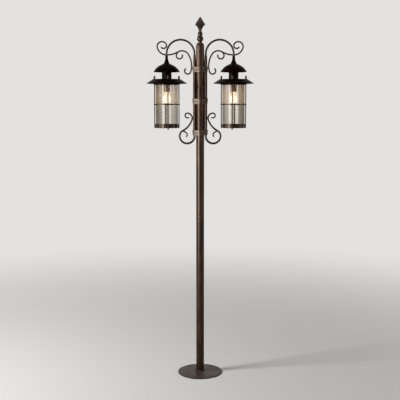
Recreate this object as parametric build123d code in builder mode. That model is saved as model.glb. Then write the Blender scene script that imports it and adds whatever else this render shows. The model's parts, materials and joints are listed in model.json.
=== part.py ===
from build123d import *
from math import cos, radians, sin, sqrt
import os

# Outdoor post light: a round post on a foot plate, a side tube on each side that arches over and carries
# a hanging lantern, forged scrolls, and a spear finial. Millimetres, +Z up, origin at the centre of the
# foot plate's underside, front towards -Y. The right-hand (+X) pieces are modelled, then mirrored.

# Clearances
weld_gap = 0.15
slip_gap = 0.3
sheet = 1.5

# Foot plate and post
base_diameter = 320.0
base_thickness = 8.0
base_bevel_width = 16.0
base_bevel_drop = 2.5
anchor_inset = 40.0
anchor_hole = 12.0
anchor_count = 4
cable_entry = 40.0
post_diameter = 57.0
post_wall = 2.9
post_length = 2326.0
foot_weld_leg = 7.0

# Cap, beads and spear on top of the post
cap_height = 31.0
cap_top_diameter = 46.0
cap_bulge = 2.0
cap_neck_diameter = 28.0
cap_neck_height = 12.5
cap_spigot = 25.0
lower_bead_diameter = 46.0
lower_bead_height = 36.5
lower_bead_foot = 29.0
lower_bead_lip = 30.0
upper_bead_diameter = 35.0
upper_bead_height = 27.0
upper_bead_end = 29.0
spear_height = 106.0
spear_shoulder = 51.0
spear_width = 73.0
spear_neck_width = 21.0
spear_tip_width = 2.0
spear_flare = 2.6
stud_diameter = 10.0
stud_grip = 16.0

# Side tubes and the collars that bind them to the post
side_tube_diameter = 21.3
side_tube_wall = 2.6
swage_length = 46.0
swage_wall = 1.75
upper_collar_drop = 125.0
collar_spacing = 220.5
collar_band_height = 13.0
collar_band_thickness = 2.0
collar_bead_height = 26.0
collar_bead_thickness = 4.2

# Arch arms
arm_diameter = 13.5
arm_wall = 2.0
arm_drop = 42.0
arm_show = 8.0
arm_socket_depth = 30.0
lantern_reach = 234.0

# Forged scrolls: bar diameters, bend radii, and turns in degrees
scroll_bar = 10.5
scroll_tip_round = 3.0
scroll_drop = 7.0
s_lead_turn = 29.5
s_crown_radius = 51.5
s_crown_turn = 87.0
s_flank_radius = 148.0
s_flank_tail_turn = 16.0
s_curl_radius = 22.0
s_curl_turn = 165.0
s_eye_radius = 17.0
s_eye_turn = 68.0
bud_share = 0.25
bud_neck_radius = 33.0
bud_neck_turn = 67.0
bud_radius = 21.5
bud_turn = 205.0
curl_bends = [(66.5, 74.0), (33.5, 164.0), (20.0, 138.0), (25.0, 38.0)]
loop_fit = 0.35
loop_tip_bar = 9.6
loop_spigot = 14.0
loop_touch_share = 0.745
loop_drop = 4.5
loop_cage_gap = 7.5
loop_turn = 180.0
loop_shoulder_radius = 41.5
loop_shoulder_turn = 62.0
loop_return_turn = 44.5
loop_crown_radius = 35.0
loop_crown_turn = 103.0
loop_curl_radius = 16.5
loop_curl_turn = 179.0
loop_eye_radius = 34.0
loop_eye_turn = 24.5
hook_share = 0.497
hook_lean = 60.0
hook_run = 25.0
hook_radius = 18.0
hook_turn = 115.0

# Lantern: neck, dome and roof
neck_drop = 15.0
neck_height = 57.0
neck_wall = 2.95
neck_collar_length = 11.0
neck_waist_diameter = 43.0
neck_waist_height = 6.5
neck_foot_diameter = 62.0
neck_socket_depth = 18.0
dome_diameter = 184.0
dome_height = 51.9
chimney_diameter = 68.5
chimney_show = 51.0
roof_diameter = 283.0
roof_margin = 3.5
roof_drop = 28.0
roof_bend = 5.0
gallery_clearance = 1.0
gallery_depth = 36.0
nipple_wall = 1.3
nipple_shoulder_diameter = 18.0
nipple_shoulder_height = 6.0

# Lantern: cage and glass
rod_diameter = 7.0
rod_count = 4
rod_twist = 8.0
rod_nut_reach = 13.0
nut_diameter = 13.0
nut_flange_diameter = 18.0
nut_flange_height = 2.5
nut_height = 24.0
nut_crown_flat = 1.0
glass_diameter = 158.0
glass_wall = 4.0
glass_length = 329.0
glass_clearance = 1.7
seal_thickness = 3.0
seal_width = 8.0
tray_depth = 28.0
tray_corner = 2.5
ring_height = 8.0
ring_thickness = 2.5
ring_rise = 161.0
foot_knob_diameter = 10.0
foot_knob_height = 11.0
foot_knob_flat = 1.0

# Lampholder and bulb
holder_drop = 20.0
holder_diameter = 46.0
holder_body_height = 46.0
holder_shoulder = 12.0
holder_boss_diameter = 22.0
holder_boss_height = 6.0
holder_mouth_depth = 6.0
contact_clearance = 0.5
contact_shell_wall = 0.9
contact_shell_length = 30.0
bulb_diameter = 60.0
bulb_length = 88.0
bulb_neck_step = 0.2
bulb_shoulder_angle = 40.0
bulb_wall = 1.0
bulb_cap_diameter = 26.4
bulb_cap_length = 21.0
bulb_cap_taper = 4.4
bulb_tip_diameter = 9.0
bulb_tip_height = 3.5

# Wiring inside
cable_diameter = 6.0
cable_clearance = 0.7
cable_spread = 14.0
cable_bend = 25.0
cable_hole = 10.0
carrier_height = 140.0
carrier_thickness = 6.0
carrier_opening = 12.0
terminal_width = 36.0
terminal_depth = 18.0
terminal_height = 45.0
terminal_corner = 3.0

# Heights and places that follow from the sizes above
post_radius = post_diameter / 2
post_top = base_thickness + post_length
cap_top = post_top + cap_height
neck_top = cap_top + cap_neck_height
lower_bead_top = neck_top + lower_bead_height
upper_bead_top = lower_bead_top + upper_bead_height
side_tube_offset = post_radius + side_tube_diameter / 2 + weld_gap
arm_spring_height = post_top - arm_drop
swage_end = arm_spring_height - arm_show
swage_start = swage_end - swage_length
swage_end_diameter = arm_diameter + 2 * swage_wall
arm_start = swage_end - arm_socket_depth
arch_radius = (lantern_reach - side_tube_offset) / 2
collar_reach = side_tube_offset + side_tube_diameter / 2 + weld_gap + collar_bead_thickness
upper_collar_height = arm_spring_height - upper_collar_drop
middle_collar_height = upper_collar_height - collar_spacing
lower_collar_height = middle_collar_height - collar_spacing
scroll_height = arm_spring_height - scroll_drop

lantern_axis = Axis((lantern_reach, 0, 0), (0, 0, 1))
lantern_profile = Plane((lantern_reach, 0, 0), x_dir=(1, 0, 0), z_dir=(0, -1, 0))
lantern_neck_top = arm_spring_height - neck_drop
lantern_neck_foot = lantern_neck_top - neck_height
neck_top_diameter = arm_diameter + 2 * neck_wall
nipple_bore = cable_diameter + 2 * cable_clearance
nipple_diameter = nipple_bore + 2 * nipple_wall
nipple_hole = nipple_diameter + 2 * slip_gap


def lantern_level(height):
    return Plane((lantern_reach, 0, height))


def sphere_rise(sphere, radius):
    return sqrt(sphere**2 - radius**2)


# The dome is a slice of a sphere, from the neck's foot down to the dome's rim
dome_radius = dome_diameter / 2
dome_rim = lantern_neck_foot - dome_height
dome_spread = dome_radius**2 - (neck_foot_diameter / 2) ** 2
dome_centre = dome_rim - (dome_spread - dome_height**2) / (2 * dome_height)
dome_sphere_radius = sqrt((dome_rim - dome_centre) ** 2 + dome_radius**2)
dome_inside = dome_sphere_radius - sheet
chimney_top = dome_centre + sphere_rise(dome_inside, chimney_diameter / 2) - weld_gap
roof_top = dome_rim - chimney_show
roof_rim = roof_top - roof_drop
gallery_top = roof_top - sheet
gallery_bottom = gallery_top - gallery_depth
glass_top = gallery_top - sheet - seal_thickness
glass_bottom = glass_top - glass_length
tray_floor = glass_bottom - seal_thickness
tray_bottom = tray_floor - sheet
tray_radius = glass_diameter / 2 + glass_clearance + sheet
rod_radius = tray_radius + slip_gap + rod_diameter / 2
rod_top = roof_top + rod_nut_reach
rod_hole = rod_diameter + 2 * slip_gap
front_rod_angle = -90.0 - rod_twist
rod_outer_radius = rod_radius + rod_diameter / 2
ring_inner_radius = rod_outer_radius + slip_gap
ring_bottom = tray_bottom + ring_rise
holder_top = gallery_top - sheet - holder_drop
holder_shoulder_top = holder_top - holder_boss_height
holder_body_top = holder_shoulder_top - holder_shoulder
holder_bottom = holder_body_top - holder_body_height
contact_shell_bore = bulb_cap_diameter + 2 * contact_clearance
contact_shell_radius = contact_shell_bore / 2 + contact_shell_wall
contact_shell_bottom = holder_bottom + holder_mouth_depth
contact_shell_top = contact_shell_bottom + contact_shell_length
bulb_cap_bottom = contact_shell_bottom
bulb_cap_top = bulb_cap_bottom + bulb_cap_length
bulb_radius = bulb_diameter / 2
bulb_neck_diameter = bulb_cap_diameter - 2 * bulb_neck_step
bulb_centre = bulb_cap_bottom - bulb_length + bulb_radius
nipple_top = lantern_neck_top - neck_socket_depth - slip_gap
nipple_bottom = holder_top - holder_boss_height

carrier_top = carrier_height + carrier_thickness
terminal_top = carrier_top + terminal_height
crossing_height = middle_collar_height + (collar_band_height + collar_bead_height) / 2
crossing_rise = side_tube_offset - cable_spread
crossing_middle = (cable_spread + side_tube_offset) / 2

os.makedirs("parts", exist_ok=True)


def save(piece, name):
    piece.part.label = name
    export_step(piece.part, f"parts/{name}.step")


def ring(outer_radius, inner_radius, plane, height):
    with BuildSketch(plane) as section:
        Circle(outer_radius)
        Circle(inner_radius, mode=Mode.SUBTRACT)
    return extrude(section.sketch, amount=height)


def wrap_outline(plane, margin):
    # Outline that hugs the post and both side tubes, a margin outside them
    with BuildSketch(plane) as outline:
        Circle(post_radius)
        with Locations((side_tube_offset, 0), (-side_tube_offset, 0)):
            Circle(side_tube_diameter / 2)
        make_hull()
        offset(amount=margin)
    return outline.sketch


def bent_line(start, heading, bends, lead=0):
    # Straight lead and then tangent arcs, in the XZ plane. Each bend is a radius and a turn in degrees,
    # anticlockwise as seen from the front
    with BuildLine(Plane.XZ) as line:
        if lead:
            Line(start, start + heading * lead)
            start = start + heading * lead
        for radius, turn in bends:
            arc = JernArc(start, heading, radius, turn)
            start = arc @ 1
            heading = arc % 1
    return line.line


def turned(heading, angle):
    return heading.rotate(Axis((0, 0, 0), (0, -1, 0)), angle)


def bar_section(line, place, diameter):
    with BuildSketch(Plane(line @ place, z_dir=line % place)) as section:
        Circle(diameter / 2)
    return section.sketch


def forged_bar(line, root_diameter, tip_diameter):
    # Round bar along a line, even or tapered, with its tip rounded off
    sections = [bar_section(line, 0, root_diameter)]
    if tip_diameter != root_diameter:
        sections.append(bar_section(line, 1, tip_diameter))
    with BuildPart() as bar:
        sweep(sections, path=line, multisection=len(sections) > 1)
        tip = bar.faces().filter_by(GeomType.PLANE).sort_by_distance(line @ 1)[0]
        fillet(tip.edges(), radius=scroll_tip_round)
    return bar.part


def cut_cable_crossing():
    # Slanting holes from the post into each side tube, hidden under the middle collar
    for side in (1, -1):
        slant = Plane((side * crossing_middle, 0, crossing_height), z_dir=(side, 0, 1))
        with BuildSketch(slant) as hole:
            Circle(cable_hole / 2)
        extrude(hole.sketch, amount=2 * (post_wall + side_tube_wall), both=True, mode=Mode.SUBTRACT)


# Foot plate, with a bevelled rim, anchor holes and the cable entry
with BuildPart() as base_plate:
    with BuildSketch():
        Circle(base_diameter / 2)
        Circle(cable_entry / 2, mode=Mode.SUBTRACT)
        with PolarLocations(base_diameter / 2 - anchor_inset, anchor_count, start_angle=180 / anchor_count):
            Circle(anchor_hole / 2, mode=Mode.SUBTRACT)
    extrude(amount=base_thickness)
    rim = base_plate.faces().sort_by(Axis.Z)[-1].outer_wire().edges()
    chamfer(rim, length=base_bevel_drop, length2=base_bevel_width)
save(base_plate, "base_plate")

with BuildPart() as foot_weld:
    with BuildSketch(Plane.XZ):
        with BuildLine():
            Polyline(
                (post_radius + foot_weld_leg, base_thickness),
                (post_radius + weld_gap, base_thickness),
                (post_radius + weld_gap, base_thickness + foot_weld_leg),
            )
            RadiusArc(
                (post_radius + weld_gap, base_thickness + foot_weld_leg),
                (post_radius + foot_weld_leg, base_thickness),
                foot_weld_leg,
            )
        make_face()
    revolve(axis=Axis.Z)
save(foot_weld, "foot_weld")

with BuildPart() as post_tube:
    ring(post_radius, post_radius - post_wall, Plane.XY.offset(base_thickness), post_length)
    cut_cable_crossing()
save(post_tube, "post_tube")

# Finial: cap, two beads and a four-sided spear, held on one stud
stud_hole = stud_diameter / 2 + slip_gap
with BuildPart() as post_cap:
    spigot = post_radius - post_wall - slip_gap
    with BuildSketch(Plane.XZ):
        with BuildLine():
            shoulder = ThreePointArc(
                (post_radius, post_top),
                (post_radius / 2 + cap_top_diameter / 4 + cap_bulge, post_top + cap_height / 2),
                (cap_top_diameter / 2, cap_top),
            )
            Polyline(
                shoulder @ 1,
                (cap_neck_diameter / 2, cap_top),
                (cap_neck_diameter / 2, neck_top),
                (stud_hole, neck_top),
                (stud_hole, post_top - cap_spigot),
                (spigot, post_top - cap_spigot),
                (spigot, post_top),
                shoulder @ 0,
            )
        make_face()
    revolve(axis=Axis.Z)
save(post_cap, "post_cap")


def turned_bead(foot, foot_diameter, middle_diameter, lip_diameter, height):
    with BuildSketch(Plane.XZ) as profile:
        with BuildLine():
            belly = Spline(
                (foot_diameter / 2, foot),
                (middle_diameter / 2, foot + height / 2),
                (lip_diameter / 2, foot + height),
            )
            Polyline(belly @ 1, (stud_hole, foot + height), (stud_hole, foot), belly @ 0)
        make_face()
    revolve(profile.sketch, axis=Axis.Z)


with BuildPart() as finial_lower_bead:
    turned_bead(neck_top, lower_bead_foot, lower_bead_diameter, lower_bead_lip, lower_bead_height)
save(finial_lower_bead, "finial_lower_bead")

with BuildPart() as finial_upper_bead:
    turned_bead(lower_bead_top, upper_bead_end, upper_bead_diameter, upper_bead_end, upper_bead_height)
save(finial_upper_bead, "finial_upper_bead")


def corner_square(height, width):
    # Square section with its corners on the X and Y axes
    with BuildSketch(Plane.XY.offset(height)) as section:
        Rectangle(width / sqrt(2), width / sqrt(2), rotation=45)
    return section.sketch


with BuildPart() as finial_spear:
    sections = []
    for share in (0, 1 / 3, 2 / 3, 1):
        width = spear_neck_width + (spear_width - spear_neck_width) * share**spear_flare
        sections.append(corner_square(upper_bead_top + spear_shoulder * share, width))
    loft(sections)
    loft([sections[-1], corner_square(upper_bead_top + spear_height, spear_tip_width)], ruled=True)
    with BuildSketch(Plane.XY.offset(upper_bead_top)):
        Circle(stud_hole)
    extrude(amount=stud_grip + slip_gap, mode=Mode.SUBTRACT)
save(finial_spear, "finial_spear")

with BuildPart() as finial_stud:
    with BuildSketch(Plane.XY.offset(post_top - cap_spigot)):
        Circle(stud_diameter / 2)
    extrude(amount=upper_bead_top + stud_grip - post_top + cap_spigot)
save(finial_stud, "finial_stud")


# Collars: a plain band with a rounded bead above it, wrapped round the post and both side tubes
def wrapped_collar(height):
    full_height = collar_band_height + collar_bead_height
    bead_plane = Plane.XY.offset(height + collar_band_height)
    band_plane = Plane.XY.offset(height)
    bead = extrude(wrap_outline(bead_plane, weld_gap + collar_bead_thickness), amount=collar_bead_height)
    fillet(bead.faces().filter_by(Axis.Z).edges(), radius=collar_bead_thickness)
    extrude(wrap_outline(band_plane, weld_gap + collar_band_thickness), amount=full_height / 2)
    extrude(wrap_outline(band_plane, weld_gap), amount=full_height, mode=Mode.SUBTRACT)


with BuildPart() as lower_collar:
    wrapped_collar(lower_collar_height)
save(lower_collar, "lower_collar")

with BuildPart() as middle_collar:
    wrapped_collar(middle_collar_height)
save(middle_collar, "middle_collar")

with BuildPart() as upper_collar:
    wrapped_collar(upper_collar_height)
save(upper_collar, "upper_collar")

# Terminal block on its carrier, inside the foot of the post
with BuildPart() as terminal_carrier:
    with BuildSketch(Plane.XY.offset(carrier_height)):
        Circle(post_radius - post_wall - slip_gap)
        opening_place = (terminal_depth + carrier_opening) / 2 + sheet
        with Locations((0, opening_place), (0, -opening_place)):
            Circle(carrier_opening / 2, mode=Mode.SUBTRACT)
    extrude(amount=carrier_thickness)
save(terminal_carrier, "terminal_carrier")

with BuildPart() as terminal_block:
    with BuildSketch(Plane.XY.offset(carrier_top)):
        RectangleRounded(terminal_width, terminal_depth, terminal_corner)
    extrude(amount=terminal_height)
save(terminal_block, "terminal_block")

# Right-hand arm. Each piece is collected here, to be mirrored to the left at the end
right_pieces = {}
rise = Vector(0, 0, 1)
outward = Vector(1, 0, 0)

with BuildPart() as side_tube:
    tube_bore = side_tube_diameter / 2 - side_tube_wall
    socket_bore = arm_diameter / 2 + weld_gap
    with BuildSketch(Plane((side_tube_offset, 0, 0), x_dir=(1, 0, 0), z_dir=(0, -1, 0))):
        with BuildLine():
            Polyline(
                (tube_bore, lower_collar_height),
                (side_tube_diameter / 2, lower_collar_height),
                (side_tube_diameter / 2, swage_start),
                (swage_end_diameter / 2, swage_end),
                (socket_bore, swage_end),
                (socket_bore, arm_start),
                (tube_bore, swage_start),
                close=True,
            )
        make_face()
    revolve(axis=Axis((side_tube_offset, 0, 0), (0, 0, 1)))
    cut_cable_crossing()
right_pieces["side_tube"] = side_tube

with BuildLine(Plane.XZ) as arm_line:
    root = Line((side_tube_offset, arm_start), (side_tube_offset, arm_spring_height))
    crown = JernArc(root @ 1, rise, arch_radius, -180)
    Line(crown @ 1, (lantern_reach, lantern_neck_top - neck_socket_depth))
with BuildPart() as arch_arm:
    with BuildSketch(Plane.XY.offset(arm_start)):
        with Locations((side_tube_offset, 0)):
            Circle(arm_diameter / 2)
            Circle(arm_diameter / 2 - arm_wall, mode=Mode.SUBTRACT)
    sweep(path=arm_line.line)
right_pieces["arch_arm"] = arch_arm


def cope_to_arm():
    # Hollows the end of a bar to fit the upright end of the arm
    with BuildSketch(lantern_level(scroll_height - scroll_bar)) as arm:
        Circle(arm_diameter / 2 + weld_gap)
    extrude(arm.sketch, amount=2 * scroll_bar, mode=Mode.SUBTRACT)


# S scroll, from the arm to the upper collar, with a small curl leaving its crown. The radius of its first bend
# is the one that brings the bar up against the collar
s_touch = collar_reach + scroll_bar / 2 + weld_gap
s_lead = radians(s_lead_turn)
s_fall = radians(s_crown_turn - s_lead_turn)
s_crown_span = s_crown_radius * (sin(s_lead) + sin(s_fall))
s_flank_span = s_flank_radius * (1 - sin(s_fall))
s_lead_radius = (lantern_reach - s_touch - s_crown_span - s_flank_span) / sin(s_lead)
s_line = bent_line(
    Vector(lantern_reach, 0, scroll_height),
    -outward,
    [
        (s_lead_radius, -s_lead_turn),
        (s_crown_radius, s_crown_turn),
        (s_flank_radius, 90 - s_crown_turn + s_lead_turn + s_flank_tail_turn),
        (s_curl_radius, s_curl_turn),
        (s_eye_radius, s_eye_turn),
    ],
)
bud_line = bent_line(
    s_line @ bud_share,
    -(s_line % bud_share),
    [(bud_neck_radius, -bud_neck_turn), (bud_radius, -bud_turn)],
)
s_bar = forged_bar(s_line, scroll_bar, scroll_bar)
bud_bar = forged_bar(bud_line, scroll_bar, scroll_bar)
with BuildPart() as s_scroll:
    add(s_bar)
    add(bud_bar)
    cope_to_arm()
right_pieces["s_scroll"] = s_scroll

# Curl on the outer side of the arm
curl_line = bent_line(Vector(lantern_reach, 0, scroll_height), outward, curl_bends)
curl_bar = forged_bar(curl_line, scroll_bar, scroll_bar)
with BuildPart() as outer_curl:
    add(curl_bar)
    cope_to_arm()
right_pieces["outer_curl"] = outer_curl

# Lower scroll, a tapered bar out of the side tube's lower end, with a small hook in its loop. Its loop stays clear
# of the lantern's tray, and the radius of its return bend brings the bar back against the side tube
loop_bar = side_tube_diameter - 2 * (side_tube_wall + loop_fit)
loop_radius = (lantern_reach - tray_radius - loop_cage_gap - side_tube_offset) / 2
loop_touch_bar = loop_bar + (loop_tip_bar - loop_bar) * loop_touch_share
loop_touch = side_tube_offset + (side_tube_diameter + loop_touch_bar) / 2 + weld_gap
loop_rise = radians(loop_turn - 180)
loop_lean = radians(270 - loop_turn - loop_shoulder_turn)
loop_end_lean = loop_lean + radians(loop_return_turn)
loop_span = loop_radius * (1 + cos(loop_rise)) + loop_shoulder_radius * (sin(loop_lean) - cos(loop_rise))
loop_crown_span = loop_crown_radius * (1 - sin(loop_end_lean))
loop_return_span = side_tube_offset + loop_span - loop_crown_span - loop_touch
loop_return_radius = loop_return_span / (sin(loop_end_lean) - sin(loop_lean))
loop_line = bent_line(
    Vector(side_tube_offset, 0, lower_collar_height + loop_spigot),
    -rise,
    [
        (loop_radius, loop_turn),
        (loop_shoulder_radius, loop_shoulder_turn),
        (loop_return_radius, -loop_return_turn),
        (loop_crown_radius, -loop_crown_turn),
        (loop_curl_radius, -loop_curl_turn),
        (loop_eye_radius, -loop_eye_turn),
    ],
    lead=loop_spigot + loop_drop,
)
hook_line = bent_line(
    loop_line @ hook_share,
    turned(loop_line % hook_share, hook_lean),
    [(hook_radius, hook_turn)],
    lead=hook_run,
)
loop_bar_solid = forged_bar(loop_line, loop_bar, loop_tip_bar)
hook_bar_solid = forged_bar(hook_line, loop_tip_bar, loop_tip_bar)
with BuildPart() as lower_scroll:
    add(loop_bar_solid)
    add(hook_bar_solid)
right_pieces["lower_scroll"] = lower_scroll

# Arm cable, from the terminal block up the post, across into the side tube, over the arch and down the nipple
with BuildLine(Plane.XZ) as cable_line:
    climb = FilletPolyline(
        (cable_spread, terminal_top),
        (cable_spread, crossing_height - crossing_rise / 2),
        (side_tube_offset, crossing_height + crossing_rise / 2),
        (side_tube_offset, arm_spring_height),
        radius=cable_bend,
    )
    over = JernArc(climb @ 1, rise, arch_radius, -180)
    Line(over @ 1, (lantern_reach, nipple_bottom))
with BuildPart() as arm_cable:
    with BuildSketch(Plane.XY.offset(terminal_top)):
        with Locations((cable_spread, 0)):
            Circle(cable_diameter / 2)
    sweep(path=cable_line.line)
right_pieces["arm_cable"] = arm_cable

# Lantern roof: bell neck, dome, chimney, spreading roof and the gallery that covers the top of the glass
with BuildPart() as lantern_neck:
    with BuildSketch(lantern_profile):
        with BuildLine():
            collar = Line(
                (neck_top_diameter / 2, lantern_neck_top),
                (neck_top_diameter / 2, lantern_neck_top - neck_collar_length),
            )
            waist = TangentArc(
                collar @ 1,
                (neck_waist_diameter / 2, lantern_neck_foot + neck_waist_height),
                tangent=collar % 1,
            )
            flare = TangentArc(
                waist @ 1,
                (neck_foot_diameter / 2, lantern_neck_foot + sheet),
                tangent=waist % 1,
            )
            Polyline(
                flare @ 1,
                (neck_foot_diameter / 2, lantern_neck_foot),
                (nipple_hole / 2, lantern_neck_foot),
                (nipple_hole / 2, lantern_neck_top - neck_socket_depth),
                (socket_bore, lantern_neck_top - neck_socket_depth),
                (socket_bore, lantern_neck_top),
                collar @ 0,
            )
        make_face()
    revolve(axis=lantern_axis)
    with Locations((lantern_reach, 0, dome_centre)):
        Sphere(dome_sphere_radius + weld_gap, mode=Mode.SUBTRACT)
right_pieces["lantern_neck"] = lantern_neck

with BuildPart() as upper_roof:
    with Locations((lantern_reach, 0, dome_centre)):
        Sphere(dome_sphere_radius)
        Sphere(dome_inside, mode=Mode.SUBTRACT)
    split(bisect_by=Plane.XY.offset(dome_rim), keep=Keep.TOP)
    with BuildSketch(lantern_level(dome_rim)):
        Circle(nipple_hole / 2)
    extrude(amount=dome_sphere_radius, mode=Mode.SUBTRACT)
right_pieces["upper_roof"] = upper_roof

with BuildPart() as chimney:
    ring(chimney_diameter / 2, chimney_diameter / 2 - sheet, lantern_level(roof_top), chimney_top - roof_top)
right_pieces["chimney"] = chimney


def drill_rod_holes(height):
    with BuildSketch(lantern_level(height)) as holes:
        with PolarLocations(rod_radius, rod_count, start_angle=front_rod_angle):
            Circle(rod_hole / 2)
    extrude(holes.sketch, amount=2 * sheet, both=True, mode=Mode.SUBTRACT)


with BuildPart() as lower_roof:
    plateau = rod_radius + nut_flange_diameter / 2 + roof_margin
    with BuildSketch(lantern_profile) as roof_section:
        with BuildLine():
            Polyline(
                (nipple_hole / 2, roof_top),
                (plateau, roof_top),
                (roof_diameter / 2, roof_rim),
                (roof_diameter / 2, roof_rim - sheet),
                (plateau, roof_top - sheet),
                (nipple_hole / 2, roof_top - sheet),
                close=True,
            )
        make_face()
        fillet(roof_section.vertices().group_by(Axis.X)[1], radius=roof_bend)
    revolve(axis=lantern_axis)
    drill_rod_holes(roof_top)
right_pieces["lower_roof"] = lower_roof

with BuildPart() as glass_gallery:
    skirt = rod_outer_radius + gallery_clearance + sheet
    with BuildSketch(lantern_profile):
        with BuildLine():
            Polyline(
                (nipple_hole / 2, gallery_top),
                (skirt, gallery_top),
                (skirt, gallery_bottom),
                (skirt - sheet, gallery_bottom),
                (skirt - sheet, gallery_top - sheet),
                (nipple_hole / 2, gallery_top - sheet),
                close=True,
            )
        make_face()
    revolve(axis=lantern_axis)
    drill_rod_holes(gallery_top)
right_pieces["glass_gallery"] = glass_gallery

with BuildPart() as nipple:
    ring(nipple_diameter / 2, nipple_bore / 2, lantern_level(nipple_bottom), nipple_top - nipple_bottom)
    shoulder_bottom = gallery_top - sheet - nipple_shoulder_height
    ring(nipple_shoulder_diameter / 2, nipple_bore / 2, lantern_level(shoulder_bottom), nipple_shoulder_height)
right_pieces["nipple"] = nipple

# Seals above and below the glass
seal_outer = tray_radius - tray_corner - slip_gap
with BuildPart() as roof_seal:
    ring(seal_outer, seal_outer - seal_width, lantern_level(glass_top), seal_thickness)
right_pieces["roof_seal"] = roof_seal

with BuildPart() as tray_seal:
    ring(seal_outer, seal_outer - seal_width, lantern_level(tray_floor), seal_thickness)
right_pieces["tray_seal"] = tray_seal

with BuildPart() as lantern_glass:
    ring(glass_diameter / 2, glass_diameter / 2 - glass_wall, lantern_level(glass_bottom), glass_length)
right_pieces["lantern_glass"] = lantern_glass

# Cage: rods through the roof with a cap nut on each, a flat ring round them, and the tray
with BuildPart() as cap_nuts:
    nut_places = PolarLocations(rod_radius, rod_count, start_angle=front_rod_angle)
    with BuildSketch(lantern_level(roof_top)):
        with nut_places:
            Circle(nut_diameter / 2)
    extrude(amount=nut_height)
    fillet(cap_nuts.faces().group_by(Axis.Z)[-1].edges(), radius=nut_diameter / 2 - nut_crown_flat)
    with BuildSketch(lantern_level(roof_top)):
        with nut_places:
            Circle(nut_flange_diameter / 2)
    extrude(amount=nut_flange_height)
    with BuildSketch(lantern_level(roof_top)):
        with nut_places:
            Circle(rod_hole / 2)
    extrude(amount=rod_nut_reach + slip_gap, mode=Mode.SUBTRACT)
right_pieces["cap_nuts"] = cap_nuts

with BuildPart() as cage_rods:
    with BuildSketch(lantern_level(tray_bottom)):
        with PolarLocations(rod_radius, rod_count, start_angle=front_rod_angle):
            Circle(rod_diameter / 2)
    extrude(amount=rod_top - tray_bottom)
    with BuildSketch(lantern_level(tray_bottom)):
        with PolarLocations(rod_radius, 1, start_angle=front_rod_angle):
            Circle(foot_knob_diameter / 2)
    knob = extrude(amount=-foot_knob_height)
    fillet(knob.faces().sort_by(Axis.Z)[0].edges(), radius=foot_knob_diameter / 2 - foot_knob_flat)
right_pieces["cage_rods"] = cage_rods

with BuildPart() as cage_ring:
    ring(ring_inner_radius + ring_thickness, ring_inner_radius, lantern_level(ring_bottom), ring_height)
right_pieces["cage_ring"] = cage_ring

with BuildPart() as tray:
    with BuildSketch(lantern_level(tray_bottom)):
        Circle(tray_radius)
    extrude(amount=tray_depth)
    fillet(tray.faces().sort_by(Axis.Z)[0].edges(), radius=tray_corner)
    offset(amount=-sheet, openings=tray.faces().sort_by(Axis.Z)[-1])
right_pieces["tray"] = tray

# Lampholder, its contacts, and the bulb
with BuildPart() as lampholder:
    with BuildSketch(lantern_profile):
        with BuildLine():
            body = Line((holder_diameter / 2, holder_bottom), (holder_diameter / 2, holder_body_top))
            cheek = TangentArc(
                body @ 1,
                (holder_boss_diameter / 2, holder_shoulder_top),
                tangent=body % 1,
            )
            Polyline(
                cheek @ 1,
                (holder_boss_diameter / 2, holder_top),
                (nipple_hole / 2, holder_top),
                (nipple_hole / 2, nipple_bottom),
                (0, nipple_bottom),
                (0, contact_shell_top),
                (contact_shell_radius + weld_gap, contact_shell_top),
                (contact_shell_radius + weld_gap, holder_bottom),
                body @ 0,
            )
        make_face()
    revolve(axis=lantern_axis)
right_pieces["lampholder"] = lampholder

with BuildPart() as lamp_contacts:
    ring(contact_shell_radius, contact_shell_bore / 2, lantern_level(contact_shell_bottom), contact_shell_length)
    bulb_tip_top = bulb_cap_top + bulb_tip_height
    with BuildSketch(lantern_level(bulb_tip_top + slip_gap)):
        Circle(bulb_tip_diameter / 2)
    extrude(amount=contact_shell_top - bulb_tip_top - slip_gap)
right_pieces["lamp_contacts"] = lamp_contacts

with BuildPart() as bulb_cap:
    with BuildSketch(lantern_level(bulb_cap_bottom)):
        Circle(bulb_cap_diameter / 2)
    extrude(amount=bulb_cap_length)
    chamfer(bulb_cap.faces().sort_by(Axis.Z)[-1].edges(), length=bulb_cap_taper)
    with BuildSketch(lantern_level(bulb_cap_top)):
        Circle(bulb_tip_diameter / 2)
    extrude(amount=bulb_tip_height)
right_pieces["bulb_cap"] = bulb_cap


def bulb_outline(wall):
    globe = bulb_radius - wall
    shoulder = radians(bulb_shoulder_angle)
    with BuildSketch(lantern_profile) as outline:
        with BuildLine():
            ball = ThreePointArc(
                (0, bulb_centre - globe),
                (globe, bulb_centre),
                (globe * cos(shoulder), bulb_centre + globe * sin(shoulder)),
            )
            throat = TangentArc(ball @ 1, (bulb_neck_diameter / 2 - wall, bulb_cap_bottom), tangent=ball % 1)
            Polyline(throat @ 1, (0, bulb_cap_bottom), ball @ 0)
        make_face()
    return outline.sketch


with BuildPart() as bulb_glass:
    revolve(bulb_outline(0), axis=lantern_axis)
    revolve(bulb_outline(bulb_wall), axis=lantern_axis, mode=Mode.SUBTRACT)
right_pieces["bulb_glass"] = bulb_glass

# Both sides are written, the left as the mirror image of the right
for name, piece in right_pieces.items():
    save(piece, f"right_{name}")
    with BuildPart() as twin:
        mirror(piece.part, about=Plane.YZ)
    save(twin, f"left_{name}")
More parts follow.
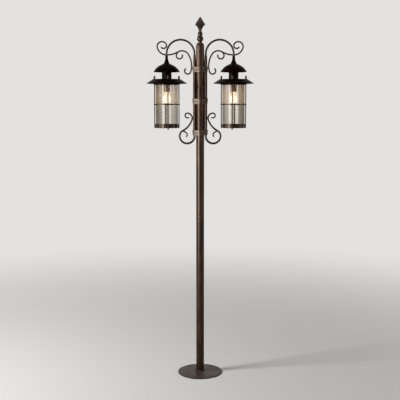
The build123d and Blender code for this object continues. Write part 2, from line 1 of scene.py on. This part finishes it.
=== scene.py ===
import json
import math
import bpy
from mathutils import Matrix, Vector


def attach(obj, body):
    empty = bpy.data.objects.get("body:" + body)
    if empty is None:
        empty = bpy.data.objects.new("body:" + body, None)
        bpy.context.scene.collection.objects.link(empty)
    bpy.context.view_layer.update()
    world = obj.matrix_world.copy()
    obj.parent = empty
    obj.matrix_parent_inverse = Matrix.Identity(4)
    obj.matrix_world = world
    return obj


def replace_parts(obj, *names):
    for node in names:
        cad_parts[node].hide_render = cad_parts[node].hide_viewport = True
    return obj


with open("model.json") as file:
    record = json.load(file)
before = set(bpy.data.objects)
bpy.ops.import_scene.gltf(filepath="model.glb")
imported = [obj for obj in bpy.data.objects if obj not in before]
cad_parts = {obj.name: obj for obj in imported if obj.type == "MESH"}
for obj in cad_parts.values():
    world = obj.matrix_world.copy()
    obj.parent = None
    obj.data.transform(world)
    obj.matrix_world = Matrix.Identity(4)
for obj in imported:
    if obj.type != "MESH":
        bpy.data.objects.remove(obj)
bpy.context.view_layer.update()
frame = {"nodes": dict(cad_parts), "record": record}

nodes = frame["nodes"]
slotOf = {part["node"]: part["material_slot"] for part in frame["record"]["subparts"]}
sides = (("left", -1), ("right", 1))
lanternAcross = 0.234  # from the middle of the post to the middle of a lantern
tubeAcross = 0.0393
print("frame:", len(nodes), "nodes")


# Shader maths. A Wire is one output of a node tree, and sums of wires become Math nodes
class Wire:
    def __init__(self, tree, output=None):
        self.tree = tree
        self.output = output

    def node(self, kind, settings=None, inputs=None, output=0):
        made = self.tree.nodes.new(kind)
        for name, value in (settings or {}).items():
            setattr(made, name, value)
        for name, value in (inputs or {}).items():
            if isinstance(value, Wire):
                self.tree.links.new(value.output, made.inputs[name])
            else:
                made.inputs[name].default_value = value
        return Wire(self.tree, made.outputs[output] if made.outputs else None)

    def maths(self, operation, first, second):
        return self.node("ShaderNodeMath", {"operation": operation}, {0: first, 1: second})

    def __add__(self, other):
        return self.maths("ADD", self, other)

    def __radd__(self, other):
        return self.maths("ADD", other, self)

    def __sub__(self, other):
        return self.maths("SUBTRACT", self, other)

    def __rsub__(self, other):
        return self.maths("SUBTRACT", other, self)

    def __mul__(self, other):
        return self.maths("MULTIPLY", self, other)

    def __rmul__(self, other):
        return self.maths("MULTIPLY", other, self)

    def fade(self, low, high):  # 0 up to low, 1 from high on, smooth in between
        edges = {"Value": self, "From Min": low, "From Max": high}
        return self.node("ShaderNodeMapRange", {"interpolation_type": "SMOOTHSTEP"}, edges)

    def mix(self, first, second):  # this wire is the share of the second colour
        return self.node("ShaderNodeMix", {"data_type": "RGBA"}, {0: self, 6: first, 7: second}, 2)

    def noise(self, place, scale, detail=4.0, roughness=0.55):
        settings = {"Vector": place, "Scale": scale, "Detail": detail, "Roughness": roughness}
        return self.node("ShaderNodeTexNoise", None, settings)

    def stretched(self, place, scale):
        return self.node("ShaderNodeMapping", None, {"Vector": place, "Scale": scale})

    def bump(self, height, depth):
        return self.node("ShaderNodeBump", None, {"Height": height, "Distance": depth})

    def coordinate(self, axis):
        return self.node("ShaderNodeSeparateXYZ", None, {"Vector": self}, axis)

    def size(self):  # without its sign
        return self.node("ShaderNodeMath", {"operation": "ABSOLUTE"}, {0: self})


def tint(red, green, blue):  # a colour as it shows on screen, 0 to 255
    return tuple((share / 255) ** 2.2 for share in (red, green, blue)) + (1.0,)


def newFinish(name):
    material = bpy.data.materials.new(name)
    material.use_nodes = True
    material.node_tree.nodes.clear()
    return material, Wire(material.node_tree)


def endFinish(wire, inputs):
    shader = wire.node("ShaderNodeBsdfPrincipled", None, inputs)
    wire.node("ShaderNodeOutputMaterial", None, {"Surface": shader})


# Antique iron: a dark coat, warmer where it was brushed over, rubbed pale in flecks along the grain
def ironFinish(name, look):
    material, wire = newFinish(name)
    place = wire.node("ShaderNodeTexCoord", output="Object")
    cloud = wire.noise(place, look["cloudScale"], detail=3.0)
    grain = wire.noise(wire.stretched(place, look["grain"]), 1.0, detail=6.0, roughness=0.65)
    grit = wire.noise(place, look["gritScale"], detail=2.0)
    brushed = cloud * ironCoat["cloudShare"] + grain * (1 - ironCoat["cloudShare"])
    warmth = brushed.fade(*ironCoat["warmFade"])
    height = grain * ironCoat["grainShare"] + grit * (1 - ironCoat["grainShare"])
    rubbed = height.fade(*ironCoat["rubFade"]) * look["rub"]
    colour = rubbed.mix(warmth.mix(look["dark"], look["warm"]), look["pale"])
    unevenness = (cloud - 0.5) * look["roughSwing"] + (grit - 0.5) * ironCoat["gritSwing"]
    endFinish(wire, {
        "Base Color": colour,
        "Metallic": look["metallic"],
        "Roughness": look["rough"] + unevenness,
        "Specular IOR Level": look["shine"],
        "Specular Tint": look["sheen"],
        "Normal": wire.bump(height, look["bumpDepth"]),
    })
    return material


ironCoat = {
    "cloudShare": 0.55, "warmFade": (0.40, 0.62), "grainShare": 0.6, "rubFade": (0.53, 0.72),
    "gritSwing": 0.06,
}
postIron = {
    "dark": tint(36, 22, 12), "warm": tint(64, 42, 26), "pale": tint(114, 92, 74), "rub": 0.45,
    "cloudScale": 7.0, "grain": (55.0, 55.0, 6.0), "gritScale": 420.0, "bumpDepth": 0.00008,
    "metallic": 0.2, "rough": 0.34, "roughSwing": 0.06, "shine": 0.26, "sheen": tint(255, 236, 220),
}
collarIron = dict(
    postIron, dark=tint(34, 25, 18), warm=tint(66, 50, 37), grain=(60.0, 60.0, 60.0), rub=0.8, shine=0.5,
)
baseIron = {
    "dark": tint(53, 46, 42), "warm": tint(76, 68, 61), "pale": tint(114, 105, 97), "rub": 0.45,
    "cloudScale": 14.0, "grain": (40.0, 40.0, 40.0), "gritScale": 500.0, "bumpDepth": 0.00012,
    "metallic": 0.15, "rough": 0.42, "roughSwing": 0.2, "shine": 0.15, "sheen": tint(255, 244, 234),
}
scrollIron = {
    "dark": tint(18, 16, 14), "warm": tint(36, 31, 27), "pale": tint(100, 92, 84), "rub": 0.5,
    "cloudScale": 16.0, "grain": (70.0, 70.0, 70.0), "gritScale": 600.0, "bumpDepth": 0.00012,
    "metallic": 0.2, "rough": 0.36, "roughSwing": 0.2, "shine": 0.25, "sheen": tint(255, 244, 234),
}
roofIron = {
    "dark": tint(12, 7, 4), "warm": tint(27, 17, 10), "pale": tint(62, 46, 35), "rub": 0.3,
    "cloudScale": 12.0, "grain": (45.0, 45.0, 90.0), "gritScale": 520.0, "bumpDepth": 0.00008,
    "metallic": 0.05, "rough": 0.3, "roughSwing": 0.2, "shine": 0.015, "sheen": tint(255, 222, 196),
}
cageIron = dict(roofIron, grain=(90.0, 90.0, 14.0), warm=tint(40, 27, 18), rub=0.45, shine=0.22)


# Plated steel, brushed along the piece
def steelFinish(name, look):
    material, wire = newFinish(name)
    place = wire.node("ShaderNodeTexCoord", output="Object")
    brush = wire.noise(wire.stretched(place, look["brush"]), 1.0, detail=5.0)
    cloud = wire.noise(place, look["cloudScale"])
    endFinish(wire, {
        "Base Color": cloud.fade(*look["cloudFade"]).mix(look["dark"], look["pale"]),
        "Metallic": 1.0,
        "Roughness": look["rough"] + (brush - 0.5) * look["roughSwing"],
        "Normal": wire.bump(brush, look["bumpDepth"]),
    })
    return material


zincSteel = {
    "dark": tint(150, 150, 146), "pale": tint(196, 196, 190), "brush": (900.0, 900.0, 60.0),
    "cloudScale": 30.0, "cloudFade": (0.35, 0.7), "rough": 0.36, "roughSwing": 0.3, "bumpDepth": 0.0001,
}
lampBrass = dict(
    zincSteel, dark=tint(168, 132, 66), pale=tint(222, 186, 108), brush=(40.0, 40.0, 1700.0), rough=0.3,
    bumpDepth=0.0005,
)


# Drawn glass: mirrored at a glance, with painted shade on its outer side and a painted highlight of clearer
# glass in a streak on each side of the middle, with a thin film of dust, and a painted amber glow of the
# bulb's light in a band at the bulb's height
def glassFinish(name, look):
    material, wire = newFinish(name)
    place = wire.node("ShaderNodeTexCoord", output="Object")
    streak = wire.noise(wire.stretched(place, look["streaks"]), 1.0, detail=3.0)
    dust = wire.noise(place, look["dustScale"], detail=5.0)
    band = (streak * look["streakShare"] + dust * (1 - look["streakShare"])).fade(*look["bandFade"])
    outward = place.coordinate("X").size() - look["middle"]
    # painted shade: the outer side of each glass is made darker
    paintedOuterShade = outward.fade(*look["paintedShadeFrom"]) * (1.0 - outward.fade(*look["paintedShadeTo"]))
    # painted highlight: a streak on each side of the middle where the glass is made clearer
    paintedStreak = outward.size().fade(*look["paintedStreakFrom"]) * (1.0 - outward.size().fade(*look["paintedStreakTo"]))
    # the glass's smoke, lightened in the painted highlight streak
    smoke = (1.0 - paintedStreak * look["paintedStreakShare"]) * (look["smokeLeast"] + band * look["smokeSwing"]) * look["smoke"]
    height = place.coordinate("Z")
    # painted light: the glass glows amber in a band at the bulb's height, standing in for the bulb's light on
    # it
    paintedBulbLight = height.fade(look["paintedGlowFoot"], look["paintedGlowMiddle"])
    paintedBulbLight = paintedBulbLight * (1.0 - height.fade(look["paintedGlowMiddle"], look["paintedGlowTop"]))
    edge = wire.node("ShaderNodeLayerWeight", None, {"Blend": 0.5}, "Facing")
    steep = edge * edge * edge
    inside = wire.node("ShaderNodeNewGeometry", output="Backfacing")
    mirror = (look["mirror"] * (0.5 + band) + steep * edge * look["edgeMirror"]) * (1.0 - inside)
    thin = wire.node("ShaderNodeBsdfTransparent", None, {"Color": look["clear"]})
    deep = wire.node("ShaderNodeBsdfTransparent", None, {"Color": look["deep"]})
    # the glass's smoke and depth at its edges, plus the painted shade on its outer side
    smokeAndPaintedShade = edge * edge * look["depth"] + smoke + paintedOuterShade * look["paintedOuterShade"]
    clear = wire.node("ShaderNodeMixShader", None, {"Fac": smokeAndPaintedShade, 1: thin, 2: deep})
    film = wire.node("ShaderNodeBsdfPrincipled", None, {
        "Base Color": band.mix(look["dusty"], look["dustier"]),
        "Roughness": look["filmRough"] + (dust - 0.5) * look["filmSwing"],
        # the painted glow of the bulb's light, given off by the glass itself
        "Emission Color": paintedBulbLight.mix((0.0, 0.0, 0.0, 1.0), look["glow"]),
        "Emission Strength": look["paintedGlowStrength"],
    })
    gloss = wire.node("ShaderNodeBsdfPrincipled", None, {
        "Base Color": streak.fade(*look["shineFade"]).mix(look["shine"], look["shineDull"]),
        "Metallic": 1.0,
        "Roughness": look["smooth"] + streak * look["dulling"],
    })
    share = look["filmShare"] * (look["dustLeast"] + dust * look["dustSwing"]) + steep * look["edgeShare"]
    filmed = wire.node("ShaderNodeMixShader", None, {"Fac": share, 1: clear, 2: film})
    glass = wire.node("ShaderNodeMixShader", None, {"Fac": mirror, 1: filmed, 2: gloss})
    wire.node("ShaderNodeOutputMaterial", None, {"Surface": glass})
    material.cycles.emission_sampling = "NONE"
    return material


lanternGlass = {
    "clear": tint(250, 249, 247), "deep": tint(184, 176, 165), "depth": 0.5,
    "smoke": 0.28, "smokeLeast": 0.7, "smokeSwing": 0.6,
    # painted shade on the outer side of each glass
    "middle": lanternAcross, "paintedOuterShade": 0.26, "paintedShadeFrom": (0.030, 0.048), "paintedShadeTo": (0.066, 0.077),
    # painted highlight streak of clearer glass on each side of the middle
    "paintedStreakFrom": (0.007, 0.017), "paintedStreakTo": (0.026, 0.036), "paintedStreakShare": 0.9,
    "streaks": (40.0, 40.0, 2.0), "streakShare": 0.75, "bandFade": (0.40, 0.60),
    "shine": tint(250, 246, 240), "shineDull": tint(232, 226, 218), "shineFade": (0.3, 0.7),
    "smooth": 0.22, "dulling": 0.08, "mirror": 0.014, "edgeMirror": 0.25,
    "dusty": tint(120, 114, 106), "dustier": tint(176, 170, 162), "dustScale": 24.0,
    "dustLeast": 0.6, "dustSwing": 0.8, "filmShare": 0.025, "edgeShare": 0.03,
    "filmRough": 0.5, "filmSwing": 0.3,
    # painted glow of the bulb's light on the glass
    "glow": tint(255, 184, 104), "paintedGlowStrength": 1.9, "paintedGlowFoot": 1.90, "paintedGlowMiddle": 1.99, "paintedGlowTop": 2.10,
}


# Lit bulb: white hot at the globe, amber towards the neck, thinning out to clear glass at its rim
def bulbFinish(name, look):
    material, wire = newFinish(name)
    place = wire.node("ShaderNodeTexCoord", output="Object")
    neck = place.coordinate("Z").fade(look["globeTop"], look["neckTop"])
    frost = wire.noise(place, look["frostScale"], detail=3.0)
    glow = (neck + (frost - 0.5) * look["frostTint"]).mix(look["globe"], look["neck"])
    edge = wire.node("ShaderNodeLayerWeight", None, {"Blend": 0.5}, "Facing")
    frosted = wire.node("ShaderNodeBsdfPrincipled", None, {
        "Base Color": look["unlit"],
        "Roughness": look["rough"] + frost * look["roughSwing"],
        "Emission Color": glow,
        "Emission Strength": look["strength"],
    })
    clear = wire.node("ShaderNodeBsdfTransparent")
    bulb = wire.node("ShaderNodeMixShader", None, {"Fac": edge.fade(*look["rim"]), 1: frosted, 2: clear})
    wire.node("ShaderNodeOutputMaterial", None, {"Surface": bulb})
    material.cycles.emission_sampling = "NONE"
    return material


litBulb = {
    "globe": tint(255, 243, 222), "neck": tint(255, 222, 176), "globeTop": 1.985, "neckTop": 2.032,
    "strength": 1.45, "rim": (0.25, 0.9), "unlit": tint(112, 106, 98),
    "frostScale": 160.0, "frostTint": 0.12, "rough": 0.35, "roughSwing": 0.2,
}


# Moulded and fired materials: two shades in soft clouds under a fine grain
def mouldedFinish(name, look):
    material, wire = newFinish(name)
    place = wire.node("ShaderNodeTexCoord", output="Object")
    cloud = wire.noise(place, look["cloudScale"])
    grain = wire.noise(place, look["grainScale"], detail=2.0)
    shade = cloud * moulding["cloudShare"] + grain * (1 - moulding["cloudShare"])
    inputs = {
        "Base Color": shade.fade(*moulding["shadeFade"]).mix(look["dark"], look["pale"]),
        "Roughness": look["rough"] + (grain - 0.5) * moulding["roughSwing"],
        "Normal": wire.bump(grain, look["bumpDepth"]),
    }
    if look["glaze"]:
        inputs["Coat Weight"] = cloud.fade(*moulding["glazeFade"]) * look["glaze"]
    endFinish(wire, inputs)
    return material


moulding = {"cloudShare": 0.7, "shadeFade": (0.38, 0.64), "roughSwing": 0.2, "glazeFade": (0.2, 0.6)}
holderCeramic = {
    "dark": tint(96, 58, 28), "pale": tint(142, 92, 48), "cloudScale": 45.0, "grainScale": 500.0,
    "rough": 0.4, "glaze": 0.6, "bumpDepth": 0.0002,
}
sealRubber = {
    "dark": tint(34, 34, 35), "pale": tint(56, 55, 54), "cloudScale": 60.0, "grainScale": 900.0,
    "rough": 0.72, "glaze": 0.0, "bumpDepth": 0.0002,
}
cableRubber = dict(sealRubber, dark=tint(40, 40, 42), pale=tint(58, 58, 60))
innerPlastic = {
    "dark": tint(214, 208, 192), "pale": tint(232, 227, 214), "cloudScale": 50.0, "grainScale": 800.0,
    "rough": 0.5, "glaze": 0.0, "bumpDepth": 0.00015,
}

finishes = {
    "post_iron": ironFinish("postIron", postIron),
    "collar_iron": ironFinish("collarIron", collarIron),
    "base_iron": ironFinish("baseIron", baseIron),
    "scroll_iron": ironFinish("scrollIron", scrollIron),
    "roof_iron": ironFinish("roofIron", roofIron),
    "cage_iron": ironFinish("cageIron", cageIron),
    "steel": steelFinish("zincSteel", zincSteel),
    "lamp_brass": steelFinish("lampBrass", lampBrass),
    "clear_glass": glassFinish("lanternGlass", lanternGlass),
    "bulb_glass": bulbFinish("litBulb", litBulb),
    "holder_ceramic": mouldedFinish("holderCeramic", holderCeramic),
    "seal_rubber": mouldedFinish("sealRubber", sealRubber),
    "cable_rubber": mouldedFinish("cableRubber", cableRubber),
    "inner_plastic": mouldedFinish("innerPlastic", innerPlastic),
}
for name, node in nodes.items():
    node.data.materials.clear()
    node.data.materials.append(finishes[slotOf[name]])
print("finishes:", len(finishes))


# Names a new piece, gives it its finish, puts its place into its mesh and fixes it to the post
def dress(piece, name, slot):
    piece.name = name
    piece.data.materials.clear()
    piece.data.materials.append(finishes[slot])
    bpy.ops.object.transform_apply(location=True, rotation=True, scale=True)
    bpy.ops.object.shade_smooth()
    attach(piece, "post")
    return piece


# Copies a pattern, with a mesh of its own, to its place on the post light
def placeCopy(pattern, name, slot, place):
    bpy.ops.object.select_all(action="DESELECT")
    pattern.select_set(True)
    bpy.context.view_layer.objects.active = pattern
    bpy.ops.object.duplicate()
    piece = bpy.context.object
    piece.location = place
    return dress(piece, name, slot)


# Opens a piece for editing with only the wanted faces selected
def pickFaces(piece, wanted):
    bpy.ops.object.mode_set(mode="EDIT")
    bpy.ops.mesh.select_mode(type="FACE")
    bpy.ops.mesh.select_all(action="DESELECT")
    bpy.ops.object.mode_set(mode="OBJECT")
    for face in piece.data.polygons:
        face.select = wanted(face)
    bpy.ops.object.mode_set(mode="EDIT")


# Weld bead: one flattened drop, spun around the joint and grown together
def weldBead(bead):
    bpy.ops.object.select_all(action="DESELECT")
    bpy.ops.mesh.primitive_uv_sphere_add(segments=20, ring_count=12, radius=1.0)
    ring = bpy.context.object
    ring.scale = bead["drop"]
    ring.location = (bead["radius"], 0, 0)
    bpy.ops.object.transform_apply(location=True, rotation=True, scale=True)
    bpy.ops.object.mode_set(mode="EDIT")
    bpy.ops.mesh.select_all(action="SELECT")
    gaps = bead["drops"] - 1
    turn = math.tau * gaps / bead["drops"]
    bpy.ops.mesh.spin(steps=gaps, dupli=True, angle=turn, center=(0, 0, 0), axis=(0, 0, 1))
    bpy.ops.mesh.select_all(action="SELECT")
    bpy.ops.mesh.remove_doubles(threshold=bead["merge"])
    bpy.ops.mesh.normals_make_consistent(inside=False)
    bpy.ops.object.mode_set(mode="OBJECT")
    grown = ring.modifiers.new("grown", "REMESH")
    grown.mode = "VOXEL"
    grown.voxel_size = bead["grain"]
    bpy.ops.object.modifier_apply(modifier="grown")
    eased = ring.modifiers.new("eased", "SMOOTH")
    eased.iterations = bead["easing"]
    bpy.ops.object.modifier_apply(modifier="eased")
    return ring


footBead = {
    "radius": 0.0308, "drop": (0.0042, 0.0027, 0.0044), "drops": 46, "grain": 0.0007, "easing": 3,
    "merge": 0.000001, "height": 0.0095,
}
armBead = {
    "radius": 0.0072, "drop": (0.0016, 0.0013, 0.0017), "drops": 20, "grain": 0.0003, "easing": 2,
    "merge": 0.000001, "tubeTop": 2.2843, "neckTop": 2.2772,
}
footRing = weldBead(footBead)
footRing.location = (0, 0, footBead["height"])
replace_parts(dress(footRing, "foot_bead", "base_iron"), "foot_weld")
armRing = weldBead(armBead)
for side, sign in sides:
    placeCopy(armRing, side + "_arm_bead", "scroll_iron", (sign * tubeAcross, 0, armBead["tubeTop"]))
    placeCopy(armRing, side + "_neck_bead", "scroll_iron", (sign * lanternAcross, 0, armBead["neckTop"]))
bpy.data.objects.remove(armRing)
print("weld beads")


# Rolled hems on the rims of the dome and of the roof below it: a ring with its underside pressed flatter
def rolledHem(hem):
    bpy.ops.object.select_all(action="DESELECT")
    bpy.ops.mesh.primitive_torus_add(
        major_radius=hem["radius"], minor_radius=hem["thick"], major_segments=144, minor_segments=12,
    )
    ring = bpy.context.object
    pickFaces(ring, lambda face: face.center.z < 0)  # the underside
    bpy.ops.transform.resize(value=(1, 1, hem["pressed"]), center_override=(0, 0, 0))
    bpy.ops.object.mode_set(mode="OBJECT")
    return ring


domeHem = {"radius": 0.0913, "thick": 0.0015, "height": 2.1687, "pressed": 0.7}
roofHem = {"radius": 0.1409, "thick": 0.0015, "height": 2.0899, "pressed": 0.7}
for kind, hem in (("dome", domeHem), ("roof", roofHem)):
    ring = rolledHem(hem)
    for side, sign in sides:
        placeCopy(ring, side + "_" + kind + "_hem", "roof_iron", (sign * lanternAcross, 0, hem["height"]))
    bpy.data.objects.remove(ring)
print("rolled hems")


# Seam: paint that has run into the joint between the post and a side tube, thinning out at both ends
def paintSeam(seam):
    length = seam["to"] - seam["from"]
    bpy.ops.object.select_all(action="DESELECT")
    bpy.ops.mesh.primitive_cylinder_add(vertices=16, radius=seam["radius"], depth=length)
    run = bpy.context.object
    bpy.ops.object.mode_set(mode="EDIT")
    for end in (-1, 1):
        bpy.ops.mesh.select_all(action="SELECT")
        cut = end * (length / 2 - seam["taper"])
        bpy.ops.mesh.bisect(plane_co=(0, 0, cut), plane_no=(0, 0, 1))
    pickFaces(run, lambda face: abs(face.normal.z) > 0.9)  # the two ends
    bpy.ops.transform.resize(value=(seam["thinned"], seam["thinned"], 1), center_override=(0, 0, 0))
    bpy.ops.object.mode_set(mode="OBJECT")
    return run


seam = {"radius": 0.0013, "from": 1.728, "to": 2.236, "across": 0.02858, "taper": 0.012, "thinned": 0.35}
run = paintSeam(seam)
for side, sign in sides:
    middle = (sign * seam["across"], 0, (seam["from"] + seam["to"]) / 2)
    placeCopy(run, side + "_seam", "post_iron", middle)
bpy.data.objects.remove(run)
print("seams")


# Floor: a pale disc that fades out into the backdrop
stageLook = {
    "radius": 7.0, "sunk": 0.0003, "fadeFrom": 0.6, "fadeTo": 5.5, "pale": tint(228, 227, 224),
    "backdrop": tint(226, 225, 223), "fill": 0.34,
}
bpy.ops.object.select_all(action="DESELECT")
bpy.ops.mesh.primitive_circle_add(
    vertices=128, radius=stageLook["radius"], fill_type="NGON", location=(0, 0, -stageLook["sunk"]),
)
floor = bpy.context.object
floor.name = "floor"
material, wire = newFinish("paleFloor")
place = wire.node("ShaderNodeTexCoord", output="Object")
reach = wire.node("ShaderNodeVectorMath", {"operation": "LENGTH"}, {0: place}, "Value")
plain = wire.node("ShaderNodeBsdfDiffuse", None, {"Color": stageLook["pale"]})
clear = wire.node("ShaderNodeBsdfTransparent")
faded = wire.node("ShaderNodeMixShader", None, {
    "Fac": reach.fade(stageLook["fadeFrom"], stageLook["fadeTo"]), 1: plain, 2: clear,
})
wire.node("ShaderNodeOutputMaterial", None, {"Surface": faded})
floor.data.materials.append(material)

# Backdrop: what the camera, metal and glass see is pale, while the light that it gives is weaker
world = bpy.data.worlds.new("studio")
bpy.context.scene.world = world
world.use_nodes = True
world.cycles.sampling_method = "NONE"  # an even world needs no sampling map
world.node_tree.nodes.clear()
wire = Wire(world.node_tree)
seen = wire.node("ShaderNodeLightPath", output="Is Camera Ray")
seen = seen + wire.node("ShaderNodeLightPath", output="Is Transmission Ray")
seen = seen + wire.node("ShaderNodeLightPath", output="Is Glossy Ray")
soft = wire.node("ShaderNodeBackground", None, {"Color": (1.0, 1.0, 1.0, 1.0), "Strength": stageLook["fill"]})
pale = wire.node("ShaderNodeBackground", None, {"Color": stageLook["backdrop"], "Strength": 1.0})
mixed = wire.node("ShaderNodeMixShader", None, {"Fac": seen, 1: soft, 2: pale})
wire.node("ShaderNodeOutputWorld", None, {"Surface": mixed})


# Soft boxes, each turned to face a point on the post. Only the key box lights matt surfaces
softBoxes = {
    "keyBox": {
        "place": (-3.4, -1.1, 3.0), "target": (0, 0, 1.0), "width": 1.0, "height": 1.2, "power": 130.0,
        "onMatt": True,
    },
    "frontBox": {
        "place": (-2.35, -2.65, 1.45), "target": (0, 0, 1.45), "width": 0.8, "height": 2.0, "power": 220.0,
        "onMatt": False,
    },
    "leftBox": {
        "place": (-3.3, -1.1, 2.15), "target": (0, 0, 2.0), "width": 0.8, "height": 0.7, "power": 30.0,
        "onMatt": False,
    },
    "rightBox": {
        "place": (3.3, -1.1, 2.15), "target": (0, 0, 2.0), "width": 0.8, "height": 0.7, "power": 20.0,
        "onMatt": False,
    },
}
for name, box in softBoxes.items():
    light = bpy.data.lights.new(name, "AREA")
    light.shape = "RECTANGLE"
    light.size = box["width"]
    light.size_y = box["height"]
    light.energy = box["power"]
    lamp = bpy.data.objects.new(name, light)
    bpy.context.scene.collection.objects.link(lamp)
    lamp.location = box["place"]
    facing = Vector(box["target"]) - Vector(box["place"])
    lamp.rotation_euler = facing.to_track_quat("-Z", "Y").to_euler()
    lamp.visible_diffuse = box["onMatt"]
print("stage and lights")

# Camera: as the photograph was taken, from the front and a little above
viewpoint = {"lens": 68.4, "sensor": 36.0, "place": (-0.001, -5.381, 1.908), "downward": 6.8}
camera = bpy.data.objects.new("camera", bpy.data.cameras.new("camera"))
bpy.context.scene.collection.objects.link(camera)
camera.data.lens = viewpoint["lens"]
camera.data.sensor_width = viewpoint["sensor"]
camera.location = viewpoint["place"]
camera.rotation_euler = (math.radians(90 - viewpoint["downward"]), 0, 0)
bpy.context.scene.camera = camera
bpy.context.scene.view_settings.view_transform = "Standard"
